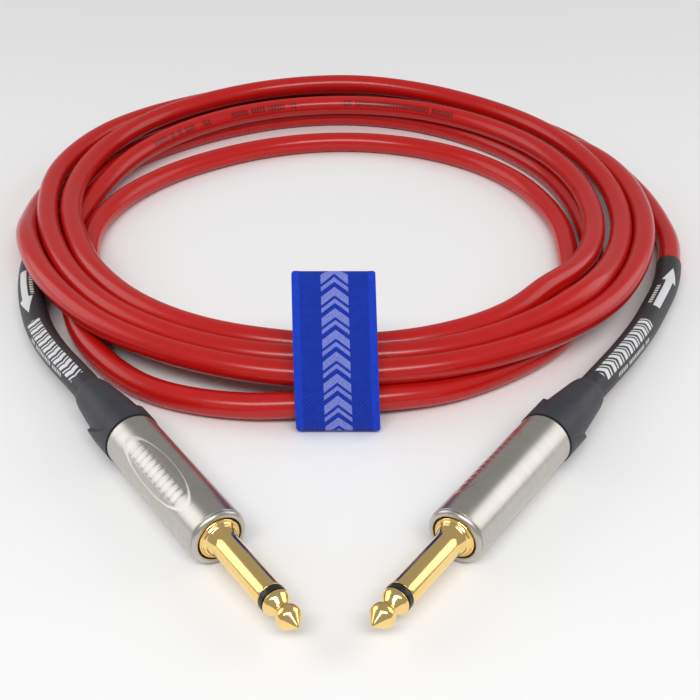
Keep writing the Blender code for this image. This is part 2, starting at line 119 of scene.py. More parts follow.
class Look:
    """A node material. Its methods add nodes and return the socket that the next node reads."""

    def __init__(self, name, **values):
        self.material = bpy.data.materials.new(name)
        self.material.use_nodes = True
        self.nodes = self.material.node_tree.nodes
        self.links = self.material.node_tree.links
        self.shader = self.nodes["Principled BSDF"]
        for socket, value in values.items():
            label = socket.replace("_", " ").title().replace("Ior", "IOR")
            self.shader.inputs[label].default_value = value

    def set(self, socket, source):
        self.links.new(source, self.shader.inputs[socket])

    def feed(self, node, index, value):
        if hasattr(value, "links"):
            self.links.new(value, node.inputs[index])
        else:
            node.inputs[index].default_value = value

    def math(self, operation, a, b=0.0, c=0.0):
        node = self.nodes.new("ShaderNodeMath")
        node.operation = operation
        for index, value in enumerate((a, b, c)):
            self.feed(node, index, value)
        return node.outputs[0]

    def smooth(self, value, low, high):
        """0 below low, 1 above high, and a smooth step between them."""
        node = self.nodes.new("ShaderNodeMapRange")
        node.interpolation_type = "SMOOTHSTEP"
        for index, number in enumerate((value, low, high, 0.0, 1.0)):
            self.feed(node, index, number)
        return node.outputs[0]

    def inside(self, value, low, high, soft):
        """1 between low and high, falling to 0 over soft on both sides."""
        return self.math("MULTIPLY", self.smooth(value, low - soft, low + soft),
                         self.smooth(value, high + soft, high - soft))

    def times(self, *values):
        product = values[0]
        for value in values[1:]:
            product = self.math("MULTIPLY", product, value)
        return product

    def either(self, *values):
        most = values[0]
        for value in values[1:]:
            most = self.math("MAXIMUM", most, value)
        return most

    def place(self, scale=(1.0, 1.0, 1.0)):
        """Object coordinates, scaled."""
        coordinates = self.nodes.new("ShaderNodeTexCoord")
        node = self.nodes.new("ShaderNodeMapping")
        node.inputs["Scale"].default_value = scale
        self.links.new(coordinates.outputs["Object"], node.inputs["Vector"])
        return node.outputs[0]

    def surface(self):
        """The two coordinates on the surface, in metres: along the piece and round or across it."""
        node = self.nodes.new("ShaderNodeUVMap")
        node.uv_map = "surface"
        split = self.nodes.new("ShaderNodeSeparateXYZ")
        self.links.new(node.outputs[0], split.inputs[0])
        return split.outputs[0], split.outputs[1]

    def vector(self, x, y, z=0.0):
        node = self.nodes.new("ShaderNodeCombineXYZ")
        for index, value in enumerate((x, y, z)):
            self.feed(node, index, value)
        return node.outputs[0]

    def noise(self, scale, vector=None, detail=3.0, rough=0.5):
        node = self.nodes.new("ShaderNodeTexNoise")
        node.inputs["Scale"].default_value = scale
        node.inputs["Detail"].default_value = detail
        node.inputs["Roughness"].default_value = rough
        self.links.new(vector or self.place(), node.inputs["Vector"])
        return node.outputs["Fac"]

    def cells(self, scale):
        node = self.nodes.new("ShaderNodeTexVoronoi")
        node.inputs["Scale"].default_value = scale
        self.links.new(self.place(), node.inputs["Vector"])
        return node.outputs["Distance"]

    def random(self, value):
        node = self.nodes.new("ShaderNodeTexWhiteNoise")
        node.noise_dimensions = "1D"
        self.feed(node, 1, value)
        return node.outputs["Value"]

    def mix(self, factor, a, b):
        """A colour between a and b, each a colour or a socket."""
        node = self.nodes.new("ShaderNodeMix")
        node.data_type = "RGBA"
        self.feed(node, 0, factor)
        for index, colour in ((6, a), (7, b)):
            self.feed(node, index, colour if hasattr(colour, "links") else (*colour, 1.0))
        return node.outputs[2]

    def between(self, factor, low, high):
        """A number from low to high."""
        node = self.nodes.new("ShaderNodeMapRange")
        for index, number in enumerate((factor, 0.0, 1.0, low, high)):
            self.feed(node, index, number)
        return node.outputs[0]

    def bump(self, height, distance, strength=1.0, onto=None):
        node = self.nodes.new("ShaderNodeBump")
        node.inputs["Distance"].default_value = distance
        node.inputs["Strength"].default_value = strength
        self.links.new(height, node.inputs["Height"])
        if onto is not None:
            self.links.new(onto, node.inputs["Normal"])
        self.links.new(node.outputs[0], self.shader.inputs["Normal"])
        return node.outputs[0]


def jacket_look():
    """Glossy red PVC with faint lengthwise drawing lines and one stretch of small black marks."""
    look = Look("cord_jacket", roughness=0.3, specular_ior_level=0.45)
    along, across = look.surface()
    tone = look.noise(60.0, detail=2.0)
    red = look.mix(tone, (0.46, 0.005, 0.004), (0.52, 0.008, 0.006))
    slot = look.math("DIVIDE", along, 1.15 * MM)
    word = look.random(look.math("FLOOR", look.math("DIVIDE", along, 9.0 * MM)))
    mark = look.random(look.math("FLOOR", slot))
    ink = look.times(look.inside(across, -1.15 * MM, 1.15 * MM, 0.12 * MM),
                     look.inside(along, PRINT_FROM, PRINT_TO, 0.2 * MM),
                     look.smooth(word, 0.30, 0.34), look.smooth(mark, 0.16, 0.2),
                     look.inside(look.math("FRACT", slot), 0.16, 0.84, 0.1))
    worn = look.math("MULTIPLY", ink, look.between(look.noise(900.0), 0.45, 1.0))
    look.set("Base Color", look.mix(worn, red, (0.03, 0.004, 0.006)))
    look.set("Roughness", look.between(look.noise(350.0, detail=4.0), 0.2, 0.28))
    drawn = look.vector(look.math("MULTIPLY", along, 25.0), look.math("MULTIPLY", across, 2600.0))
    lines = look.noise(1.0, drawn)
    look.bump(lines, 0.00001, 0.15)
    return look.material


def shrink_look(side):
    """Satin charcoal sleeve with a printed arrow, a row of bars and chevrons, and a finer row beside it."""
    look = Look(side + "_sleeve_print", roughness=0.45, specular_ior_level=0.4)
    along, across = look.surface()
    out = 1.0 if side == "right" else -1.0      # the finer row is on the outer side
    middle = out * (1.3 if side == "right" else 1.9) * MM
    offset = look.math("ABSOLUTE", look.math("SUBTRACT", across, middle))
    edge = 0.07 * MM
    if side == "right":
        tip, neck, end = 139.0 * MM, 131.0 * MM, 114.5 * MM
        to_tip = look.math("SUBTRACT", tip, along)
    else:
        tip, neck, end = 110.8 * MM, 120.0 * MM, 136.0 * MM
        to_tip = look.math("SUBTRACT", along, tip)
    low, high = min(neck, end), max(neck, end)
    head_length = abs(tip - neck)
    head_inside = look.inside(to_tip, 0.0, head_length, edge)
    head_width = look.math("MULTIPLY", to_tip, 2.3 * MM / head_length)
    head = look.times(head_inside, look.smooth(look.math("SUBTRACT", head_width, offset), -edge, edge))
    shaft = look.times(look.inside(along, low, high, edge), look.smooth(offset, 1.15 * MM, 1.0 * MM))
    row = look.math("ADD", along, look.math("MULTIPLY", offset, 0.55 * out))
    pitch = look.math("FRACT", look.math("DIVIDE", row, 3.8 * MM))
    bars = look.times(look.inside(along, 71.0 * MM, 105.5 * MM, edge),
                      look.smooth(offset, 2.2 * MM, 2.05 * MM),
                      look.either(look.inside(pitch, 0.08, 0.48, 0.02), look.inside(pitch, 0.66, 0.82, 0.02)))
    fine_offset = look.math("ABSOLUTE", look.math("SUBTRACT", across, out * 5.0 * MM))
    fine_slot = look.math("DIVIDE", along, 1.05 * MM)
    fine = look.times(look.inside(along, 77.0 * MM, 100.0 * MM, edge),
                      look.smooth(fine_offset, 0.62 * MM, 0.5 * MM),
                      look.inside(look.math("FRACT", fine_slot), 0.2, 0.75, 0.08),
                      look.smooth(look.random(look.math("FLOOR", fine_slot)), 0.15, 0.2))
    beside_offset = look.math("ABSOLUTE", look.math("SUBTRACT", across, middle - out * 2.3 * MM))
    beside = look.times(look.inside(along, low + 1.0 * MM, low + 13.0 * MM, edge),
                        look.smooth(beside_offset, 0.6 * MM, 0.45 * MM),
                        look.inside(look.math("FRACT", look.math("DIVIDE", along, 1.5 * MM)), 0.2, 0.8, 0.06))
    ink = look.either(head, shaft, bars, fine, beside)
    grain = look.noise(2600.0, detail=4.0)
    worn = look.math("MULTIPLY", ink, look.between(grain, 0.72, 1.0))
    base = look.mix(look.noise(120.0), (0.022, 0.022, 0.025), (0.034, 0.034, 0.038))
    look.set("Base Color", look.mix(worn, base, (0.80, 0.80, 0.82)))
    look.set("Roughness", look.between(look.noise(700.0, detail=4.0), 0.38, 0.55))
    soft = look.bump(look.noise(220.0, detail=2.0), 0.0003, 0.3)
    look.bump(grain, 0.00003, 0.4, soft)
    return look.material


def rubber_look():
    """Blue-grey moulded rubber with a fine spark-eroded texture."""
    look = Look("boot_rubber", roughness=0.5, specular_ior_level=0.45)
    tone = look.noise(150.0, detail=3.0)
    look.set("Base Color", look.mix(tone, (0.022, 0.023, 0.031), (0.036, 0.037, 0.048)))
    look.set("Roughness", look.between(look.noise(900.0, detail=5.0), 0.4, 0.6))
    look.bump(look.cells(3800.0), 0.00005, 0.35)
    return look.material


def nickel_look():
    """Satin nickel brushed round the barrel, more strongly toward the back."""
    look = Look("satin_nickel", metallic=1.0, roughness=0.3)
    brush = look.noise(1.0, look.place((90.0, 90.0, 5200.0)), detail=6.0, rough=0.65)
    broad = look.noise(1.0, look.place((60.0, 60.0, 700.0)), detail=3.0)
    look.set("Base Color", look.mix(broad, (0.50, 0.475, 0.43), (0.60, 0.575, 0.53)))
    split = look.nodes.new("ShaderNodeSeparateXYZ")
    look.links.new(look.place(), split.inputs[0])
    back = look.smooth(split.outputs[2], 20.0 * MM, 44.0 * MM)
    rougher = look.math("MULTIPLY", back, 0.05)
    look.set("Roughness", look.math("ADD", look.between(brush, 0.24, 0.34), rougher))
    depth = look.math("MULTIPLY", brush, look.between(back, 0.3, 1.0))
    look.bump(depth, 0.00002, 0.4)
    return look.material


def gold_look():
    """Polished gold plating with hair-fine turning marks."""
    look = Look("gold_plate", metallic=1.0, roughness=0.12)
    turning = look.noise(1.0, look.place((120.0, 120.0, 6500.0)), detail=4.0, rough=0.6)
    look.set("Base Color", look.mix(look.noise(140.0), (0.95, 0.66, 0.24), (1.0, 0.73, 0.30)))
    look.set("Roughness", look.between(turning, 0.07, 0.17))
    look.bump(turning, 0.00001, 0.3)
    return look.material


def plain_look(name, dark, light, rough, metallic=0.0, grain=900.0, depth=0.00004):
    """A finish with a fine grain, for small plastic and metal pieces."""
    look = Look(name, metallic=metallic, roughness=rough)
    look.set("Base Color", look.mix(look.noise(200.0), dark, light))
    fine = look.noise(grain, detail=5.0)
    look.set("Roughness", look.between(fine, rough - 0.08, rough + 0.08))
    look.bump(fine, depth, 0.4)
    return look.material


def weave_look():
    """Royal blue tape: staggered raised stitches, plain selvedges, and pale printed chevrons and bars."""
    look = Look("strap_tape", roughness=0.8, specular_ior_level=0.2,
                sheen_weight=0.02, sheen_roughness=0.5)
    along, across = look.surface()
    warp = look.math("SINE", look.math("MULTIPLY", across, 2 * math.pi / (1.1 * MM)))
    weft = look.math("SINE", look.math("MULTIPLY", along, 2 * math.pi / (1.0 * MM)))
    knots = look.smooth(look.math("MULTIPLY", warp, weft), 0.15, 0.9)
    threads = look.math("SINE", look.math("MULTIPLY", along, 2 * math.pi / (0.42 * MM)))
    edge = look.smooth(look.math("ABSOLUTE", across), 8.3 * MM, 8.9 * MM)
    field = look.mix(look.noise(500.0, detail=4.0), (0.003, 0.020, 0.27), (0.006, 0.036, 0.42))
    stitched = look.mix(look.math("MULTIPLY", knots, 0.6), field, (0.014, 0.062, 0.56))
    selvedge = look.mix(look.noise(900.0), (0.004, 0.030, 0.42), (0.010, 0.055, 0.60))
    ground = look.mix(edge, stitched, selvedge)
    offset = look.math("ABSOLUTE", look.math("SUBTRACT", across, 0.2 * MM))
    row = look.math("SUBTRACT", along, look.math("MULTIPLY", offset, 0.75))
    pitch = look.math("FRACT", look.math("DIVIDE", row, 5.4 * MM))
    marks = look.times(look.smooth(offset, 3.5 * MM, 3.3 * MM),
                       look.either(look.inside(pitch, 0.05, 0.45, 0.02),
                                   look.inside(pitch, 0.6, 0.8, 0.02)))
    cover = look.times(marks, look.between(look.noise(1400.0, detail=4.0), 0.5, 1.0),
                       look.between(look.math("MULTIPLY", warp, weft), 1.0, 0.75))
    look.set("Base Color", look.mix(cover, ground, (0.26, 0.30, 0.72)))
    inner = look.math("SUBTRACT", 1.0, edge)
    relief = look.math("ADD", look.times(knots, inner), look.math("MULTIPLY", threads, 0.25))
    fuzz = look.bump(look.noise(2500.0, detail=5.0), 0.0001, 0.5)
    look.bump(relief, 0.00012, 0.8, fuzz)
    return look.material


def hook_look():
    """Dense rows of short hooks."""
    look = Look("strap_hooks", roughness=0.6)
    look.set("Base Color", look.mix(look.cells(1800.0), (0.02, 0.10, 0.60), (0.004, 0.02, 0.25)))
    look.bump(look.cells(1800.0), 0.0003, 0.9)
    return look.material


# ---------------------------------------------------------------- mesh building

def rounded(points, steps=4):
    """A profile with its corners softened. Each point is (distance, radius) or (distance, radius, fillet)."""
    out = []
    for k, point in enumerate(points):
        here = Vector(point[:2])
        fillet = point[2] if len(point) > 2 else 0.0
        if not fillet or k in (0, len(points) - 1):
            out.append(here)
            continue
        before, after = Vector(points[k - 1][:2]) - here, Vector(points[k + 1][:2]) - here
        start = here + before.normalized() * min(fillet, before.length * 0.5)
        end = here + after.normalized() * min(fillet, after.length * 0.5)
        for i in range(steps + 1):
            t = i / steps
            out.append(start * (1 - t) ** 2 + here * 2 * t * (1 - t) + end * t * t)
    return [tuple(point) for point in out]


def refined(profile, step):
    """The profile with no stretch longer than step."""
    out = [profile[0]]
    for a, b in zip(profile, profile[1:]):
        count = max(1, math.ceil(math.dist(a, b) / step))
        out += [(a[0] + (b[0] - a[0]) * k / count, a[1] + (b[1] - a[1]) * k / count)
                for k in range(1, count + 1)]
    return out


def mesh_from(name, points, faces, uvs, look):
    """A smooth-shaded object with a UV map named surface; uvs holds one pair for each corner of each face."""
    mesh = bpy.data.meshes.new(name)
    mesh.from_pydata([tuple(point) for point in points], [], faces)
    layer = mesh.uv_layers.new(name="surface")
    layer.data.foreach_set("uv", np.asarray(uvs, np.float32).ravel())
    solid = bmesh.new()
    solid.from_mesh(mesh)
    bmesh.ops.remove_doubles(solid, verts=solid.verts, dist=1e-7)
    bmesh.ops.recalc_face_normals(solid, faces=solid.faces)
    solid.to_mesh(mesh)
    solid.free()
    mesh.shade_smooth()
    mesh.set_sharp_from_angle(angle=math.radians(38))
    mesh.materials.append(look)
    obj = bpy.data.objects.new(name, mesh)
    bpy.context.scene.collection.objects.link(obj)
    return obj


def swept(name, profile, place_at, sides, look, closed=False, radius_of=None, turn=0.0, where=0.0):
    """A profile of (distance, radius) carried round a line. place_at gives the line's point and its two
    directions across at a distance, and radius_of may change the radius by distance and angle. The surface
    coordinate round the piece is 0 at the angle turn from the top, and the one along it starts at where."""
    rings, count = [], len(profile)
    for distance, radius in profile:
        origin, up, side = place_at(distance)
        ring = []
        for k in range(sides):
            angle = 2 * math.pi * k / sides
            reach = radius_of(distance, radius, angle) if radius_of else radius
            ring.append(origin + up * (reach * math.cos(angle)) + side * (reach * math.sin(angle)))
        rings.append(ring)
    points = [point for ring in rings for point in ring]
    faces, uvs = [], []
    for i in range(count if closed else count - 1):
        j = (i + 1) % count
        for k in range(sides):
            n = (k + 1) % sides
            faces.append((i * sides + k, j * sides + k, j * sides + n, i * sides + n))
            start = (k / sides - turn / (2 * math.pi) + 0.5) % 1.0 - 0.5
            for row, share in ((i, start), (j, start), (j, start + 1 / sides), (i, start + 1 / sides)):
                radius = max(profile[row][1], profile[0][1]) if closed else profile[row][1]
                uvs.append((profile[row][0] + where, share * 2 * math.pi * radius))
    if not closed:
        for i in (0, count - 1):
            if profile[i][1] > 1e-6:
                faces.append(tuple(range(i * sides, (i + 1) * sides)))
                uvs += [(profile[i][0] + where, 0.0)] * sides
    return mesh_from(name, points, faces, uvs, look)


# ---------------------------------------------------------------- cord route

def hermite(x, y, at):
    """Smooth values at the given places between given ones."""
    slope = np.gradient(y, x)
    i = np.clip(np.searchsorted(x, at) - 1, 0, len(x) - 2)
    span = x[i + 1] - x[i]
    t = (at - x[i]) / span
    return ((2 * t ** 3 - 3 * t ** 2 + 1) * y[i] + (t ** 3 - 2 * t ** 2 + t) * span * slope[i]
            + (3 * t ** 2 - 2 * t ** 3) * y[i + 1] + (t ** 3 - t ** 2) * span * slope[i + 1])


def evenly(points, step):
    """Points spaced by step along one smooth curve through the given points."""
    known = np.array(points, float)
    known = np.vstack([2 * known[0] - known[1], known, 2 * known[-1] - known[-2]])
    fine = []
    t = np.linspace(0, 1, 16, endpoint=False)[:, None]
    for a, b, c, d in zip(known, known[1:], known[2:], known[3:]):
        before, here, after = (np.linalg.norm(q - p) for p, q in ((a, b), (b, c), (c, d)))
        leave = ((b - a) / before * here + (c - b) / here * before) * here / (before + here) / here
        arrive = ((c - b) / here * after + (d - c) / after * here) * here / (here + after) / here
        fine.append((2 * t ** 3 - 3 * t ** 2 + 1) * b + (t ** 3 - 2 * t ** 2 + t) * here * leave
                    + (3 * t ** 2 - 2 * t ** 3) * c + (t ** 3 - t ** 2) * here * arrive)
    fine = np.vstack([*fine, known[-2:-1]])
    travelled = np.r_[0, np.cumsum(np.linalg.norm(np.diff(fine, axis=0), axis=1))]
    at = np.linspace(0, travelled[-1], round(travelled[-1] / step) + 1)
    return np.c_[tuple(np.interp(at, travelled, fine[:, k]) for k in range(3))]


def back_of(side):
    heading = math.radians(PLUGS[side]["heading"])
    return np.array((math.cos(heading), math.sin(heading), 0.0))


def axis_points(side):
    """The stretch of cord that lies on the plug's axis, in mm."""
    return [np.array(PLUGS[side]["face"]) + back_of(side) * distance for distance in STRAIGHT]


def first_route():
    """The route from the right plug round the turns to the left plug, in metres."""
    degrees, radius, height = np.array(TURNS, float).T
    at = np.arange(degrees[0], degrees[-1] + 1, TURN_STEP)
    radius, height = hermite(degrees, radius, at), hermite(degrees, height, at)
    turn = np.radians(at)
    coil = np.c_[TURN_CENTRE[0] + radius * np.cos(turn), TURN_CENTRE[1] + radius * np.sin(turn), height]
    points = [*axis_points("right"), *PLUGS["right"]["route"], *coil,
              *PLUGS["left"]["route"][::-1], *axis_points("left")[::-1]]
    return evenly(np.array(points) * MM, CORD_STEP)


STRAP_EASE = 26 * MM                # the cord comes down to the surface over this length beside the strap
STRAP_NEAR, STRAP_FAR = -8 * MM, 30 * MM
OVER_TAPE = 1.35 * MM


def ground(points):
    """Lowest height of the cord's centreline: on the surface, or on the tape where that lies under it."""
    across = np.clip((np.abs(points[:, 0] - STRAP_X) - STRAP_WIDTH / 2) / STRAP_EASE, 0, 1)
    near = (points[:, 1] > STRAP_NEAR) & (points[:, 1] < STRAP_FAR)
    lift = (1 - across ** 2 * (3 - 2 * across)) * OVER_TAPE
    return CORD_R + np.where(near, lift, 0.0)


def laid(route, rounds=200, hold=0.12, apart=2 * CORD_R):
    """The route relaxed until no strand lies in another: crossing strands push each other off, the change is
    smoothed along the cord as its stiffness does, and nothing goes below the surface."""
    points, count = route.copy(), len(route)
    fixed = np.zeros(count, bool)
    ends = round(HELD_END / CORD_STEP)
    fixed[:ends] = fixed[-ends:] = True
    first, second = np.triu_indices(count, round(30 * MM / CORD_STEP))
    for turn in range(rounds):
        if turn % 10 == 0:
            gaps = np.linalg.norm(points[first] - points[second], axis=1)
            i, j = first[gaps < apart * 1.6], second[gaps < apart * 1.6]
        points += hold * (route - points) * (1.0 if turn < rounds - 40 else 0.25)
        for _ in range(3):
            between = points[i] - points[j]
            gaps = np.maximum(np.linalg.norm(between, axis=1), 0.3 * MM)
            close = gaps < apart
            push = between[close] * ((apart - gaps[close]) / gaps[close] * 0.5)[:, None]
            moved, hits = np.zeros_like(points), np.zeros(count)
            np.add.at(moved, i[close], push)
            np.add.at(moved, j[close], -push)
            np.add.at(hits, i[close], 1)
            np.add.at(hits, j[close], 1)
            points += moved / np.maximum(hits, 1)[:, None] * 1.3
            points[:, 2] = np.maximum(points[:, 2], ground(points))
        change = points - route
        for _ in range(2):
            change[1:-1] = 0.5 * change[1:-1] + 0.25 * (change[:-2] + change[2:])
        points = route + change
        points[:, 2] = np.maximum(points[:, 2], ground(points))
        points[fixed] = route[fixed]
    return points


class Line:
    """A smooth line through points, with up and sideways directions at any distance along it."""

    def __init__(self, points):
        self.points = np.asarray(points, float)
        self.travelled = np.r_[0, np.cumsum(np.linalg.norm(np.diff(self.points, axis=0), axis=1))]
        self.length = float(self.travelled[-1])
        self.slopes = np.gradient(self.points, self.travelled, axis=0)

    def at(self, distance):
        i = int(np.clip(np.searchsorted(self.travelled, distance) - 1, 0, len(self.points) - 2))
        span = self.travelled[i + 1] - self.travelled[i]
        t = (distance - self.travelled[i]) / span
        point = ((2 * t ** 3 - 3 * t ** 2 + 1) * self.points[i]
                 + (t ** 3 - 2 * t ** 2 + t) * span * self.slopes[i]
                 + (3 * t ** 2 - 2 * t ** 3) * self.points[i + 1]
                 + (t ** 3 - t ** 2) * span * self.slopes[i + 1])
        along = Vector(self.slopes[i] * (1 - t) + self.slopes[i + 1] * t).normalized()
        up = Vector((0.0, 0.0, 1.0))
        up = (up - along * up.dot(along)).normalized()
        return Vector(point), up, along.cross(up)


ROUTE = laid(first_route())
CORD = Line(ROUTE)
# The printed stretch lies on the fourth turn's far side, and its line faces inward and up
PRINT_FROM, PRINT_TO = 2.016, 2.142
PRINT_TURN = math.radians(-58.0)
RING_SPACING = 2.5 * MM


def make_cord():
    look = jacket_look()
    count = round(CORD.length / RING_SPACING)
    profile = [(CORD.length * k / count, CORD_R) for k in range(count + 1)]
    cord = swept("cord", profile, CORD.at, CORD_SIDES, look, turn=PRINT_TURN)
    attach(cord, "cable")
    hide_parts("coil", "cord_inner_turn", "cord_end_left", "cord_end_right")


def make_sleeve(side):
    """The heat-shrink sleeve, with a thin wall that shows at its open end."""
    behind = (SHRINK_FRONT - JACKET_CUT, SHRINK_FRONT - JACKET_CUT + PLUGS[side]["sleeve"])
    inner = SHRINK_R - SHRINK_WALL
    outline = rounded([(behind[0], SHRINK_R), (behind[1], SHRINK_R, 0.25 * MM), (behind[1], inner, 0.1 * MM),
                       (behind[0], inner)])
    profile = refined(outline, 2.0 * MM)
    reverse = side == "left"

    def place_at(distance):
        point, up, across = CORD.at(CORD.length - distance if reverse else distance)
        point.z = max(point.z, SHRINK_R)
        return point, up, -across if reverse else across

    sleeve = swept(side + "_sleeve", profile, place_at, SLEEVE_SIDES, shrink_look(side), closed=True,
                   where=JACKET_CUT)
    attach(sleeve, "cable")
    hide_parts(side + "_heatshrink")


# ---------------------------------------------------------------- plug pieces

def plug_matrix(side):
    back = Vector(back_of(side))
    up = Vector((0.0, 0.0, 1.0))
    turn = Matrix((up, back.cross(up), back)).transposed()
    return Matrix.Translation(Vector(PLUGS[side]["face"]) * MM) @ turn.to_4x4()


def on_axis(distance):
    """The plug's own axis: X is up and Y is sideways."""
    return Vector((0.0, 0.0, distance)), Vector((1.0, 0.0, 0.0)), Vector((0.0, 1.0, 0.0))


def turned(side, name, profile, look, replaced, body, slot, sides=96, **more):
    """A turned piece of one plug, from a closed outline or one that starts and ends on the axis."""
    piece = swept(f"{side}_{name}", profile, on_axis, sides, look, **more)
    piece.matrix_world = plug_matrix(side)
    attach(piece, body)
    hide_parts(*replaced)


def make_tip(side, look):
    """Pointed tip: a short cone behind a narrow waist, and a ball that draws out to a point."""
    end = -SHAFT_LENGTH
    bulb = [(end + 3.9 * MM + 2.05 * MM * math.sin(a), 0.85 * MM + 2.0 * MM * math.cos(a))
            for a in (math.radians(d) for d in range(62, -52, -12))]
    outline = rounded([(-12.0 * MM, 0.0), (-12.0 * MM, 0.8 * MM), (RING_FRONT - 0.2 * MM, 0.8 * MM),
                       (RING_FRONT - 0.2 * MM, 3.05 * MM, 0.12 * MM),
                       (RING_FRONT - 0.4 * MM, 3.14 * MM, 0.1 * MM),
                       (RING_FRONT - 1.3 * MM, 3.0 * MM, 0.4 * MM),
                       (RING_FRONT - 2.3 * MM, 2.2 * MM, 0.5 * MM),
                       (end + 6.2 * MM, 1.65 * MM, 0.4 * MM), *bulb, (end + 0.5 * MM, 0.52 * MM, 0.35 * MM),
                       (end, 0.0)])
    turned(side, "tip", refined(outline, 0.4 * MM), look, [side + "_tip_contact"], "cable", "gold")


def make_ring(side, look):
    outline = rounded([(RING_BACK, 2.0 * MM), (RING_BACK, SHAFT_R + 0.03 * MM, 0.12 * MM),
                       (RING_FRONT, SHAFT_R + 0.03 * MM, 0.12 * MM), (RING_FRONT, 1.1 * MM),
                       (11.7 * MM, 1.1 * MM), (11.7 * MM, 2.0 * MM)])
    turned(side, "insulator", refined(outline, 0.5 * MM), look, [side + "_tip_insulator"], "cable",
                  "black_plastic", closed=True)


def make_shaft(side, look):
    """The gold shaft flaring through two steps to the flange that sits in the shell's mouth."""
    outline = rounded([(9.5 * MM, 2.9 * MM), (2.6 * MM, 2.9 * MM), (2.6 * MM, 5.0 * MM, 0.2 * MM),
                       (0.3 * MM, 5.0 * MM, 0.35 * MM), (-0.1 * MM, 4.75 * MM, 0.25 * MM),
                       (0.05 * MM, 4.4 * MM, 0.15 * MM), (-0.3 * MM, 4.2 * MM, 0.15 * MM),
                       (-0.5 * MM, 4.1 * MM, 0.2 * MM), (-0.65 * MM, 3.8 * MM, 0.25 * MM),
                       (-1.5 * MM, 3.55 * MM, 0.7 * MM), (-2.6 * MM, SHAFT_R, 0.8 * MM),
                       (RING_BACK + 0.15 * MM, SHAFT_R, 0.12 * MM), (RING_BACK + 0.05 * MM, 2.3 * MM),
                       (9.5 * MM, 2.3 * MM)])
    turned(side, "shaft", refined(outline, 0.6 * MM), look, [side + "_sleeve_contact"], "cable", "gold",
                  closed=True)


# The badge's angle from the top
BADGE = {"left": math.radians(-34.0), "right": math.radians(-40.0)}
BADGE_MIDDLE = 22.0 * MM
BADGE_HALF = 14.8 * MM
BADGE_HALF_WIDTH = 4.5 * MM


def step(value, low, high):
    t = min(1.0, max(0.0, (value - low) / (high - low)))
    return t * t * (3 - 2 * t)


def shell_radius(side):
    """The barrel's radius with an oval sunk into it that holds a row of raised ribs."""
    def radius_of(distance, radius, angle):
        if radius < SHELL_R - 0.3 * MM or not 5 * MM < distance < 41 * MM:
            return radius
        turn = (angle - BADGE[side] + math.pi) % (2 * math.pi) - math.pi
        x, y = (distance - BADGE_MIDDLE) / BADGE_HALF, turn * SHELL_R / BADGE_HALF_WIDTH
        reach = math.hypot(x, y)
        if reach > 1.15:
            return radius
        floor = 0.12 * MM * (1 - step(reach, 0.93, 0.99))
        lip = 0.012 * MM * (step(reach, 0.98, 1.0) - step(reach, 1.02, 1.07))
        rib = abs((distance / (2.1 * MM)) % 1.0 - 0.5)
        raised = (0.08 * MM * (1 - step(rib, 0.18, 0.27)) * (1 - step(abs(y), 0.40, 0.48))
                  * (1 - step(abs(x), 0.74, 0.78)))
        return radius - floor + lip + raised
    return radius_of


def make_shell(side, look):
    """The barrel: a bright rounded rim round the mouth, a fine groove behind it, and a long satin body."""
    outer = rounded([(SHELL_LENGTH, 5.9 * MM), (SHELL_LENGTH, SHELL_R - 0.03 * MM, 0.25 * MM),
                     (1.4 * MM, SHELL_R), (1.1 * MM, SHELL_R - 0.03 * MM, 0.1 * MM),
                     (1.0 * MM, SHELL_R - 0.38 * MM, 0.05 * MM),
                     (0.82 * MM, SHELL_R - 0.38 * MM, 0.05 * MM), (0.72 * MM, SHELL_R - 0.16 * MM, 0.1 * MM),
                     (0.5 * MM, SHELL_R - 0.18 * MM, 0.15 * MM), (0.06 * MM, SHELL_R - 0.62 * MM, 0.25 * MM),
                     (0.0, MOUTH_R + 0.12 * MM, 0.15 * MM),
                     (0.2 * MM, MOUTH_R, 0.1 * MM), (2.8 * MM, MOUTH_R), (2.8 * MM, 5.9 * MM),
                     (30 * MM, 5.9 * MM)])
    turned(side, "barrel", refined(outer, 0.35 * MM), look, [side + "_shell"], "cable", "nickel",
                  sides=288, closed=True, radius_of=shell_radius(side))


PETALS = 4
PETAL_TURN = {"left": math.radians(-8.0), "right": math.radians(28.0)}
PETAL_FROM = 2.6 * MM                # behind the shell, where neighbouring petals part
PETAL_TIP = 11.0 * MM
PETAL_R = 7.05 * MM


def boot_radius(side):
    """The boot's cone with four raised petals that grow from the shell and end in points. On the underside
    they are cut off level with the shell, which the plug lies on."""
    def radius_of(distance, radius, angle):
        behind = distance - SHELL_LENGTH
        if radius < 6.0 * MM or behind > PETAL_TIP + 0.3 * MM:
            return radius
        share = min(1.0, max(0.0, (behind - PETAL_FROM) / (PETAL_TIP - PETAL_FROM)))
        half = math.pi / PETALS * (1.03 - share ** 0.78)
        turn = (angle - PETAL_TURN[side] + math.pi / PETALS) % (2 * math.pi / PETALS) - math.pi / PETALS
        inside = (half - abs(turn)) * radius
        reach = radius + (PETAL_R - radius) * step(inside, -0.08 * MM, 0.18 * MM)
        below = -math.cos(angle)
        return min(reach, SHELL_R / below) if below > 0.5 else reach
    return radius_of


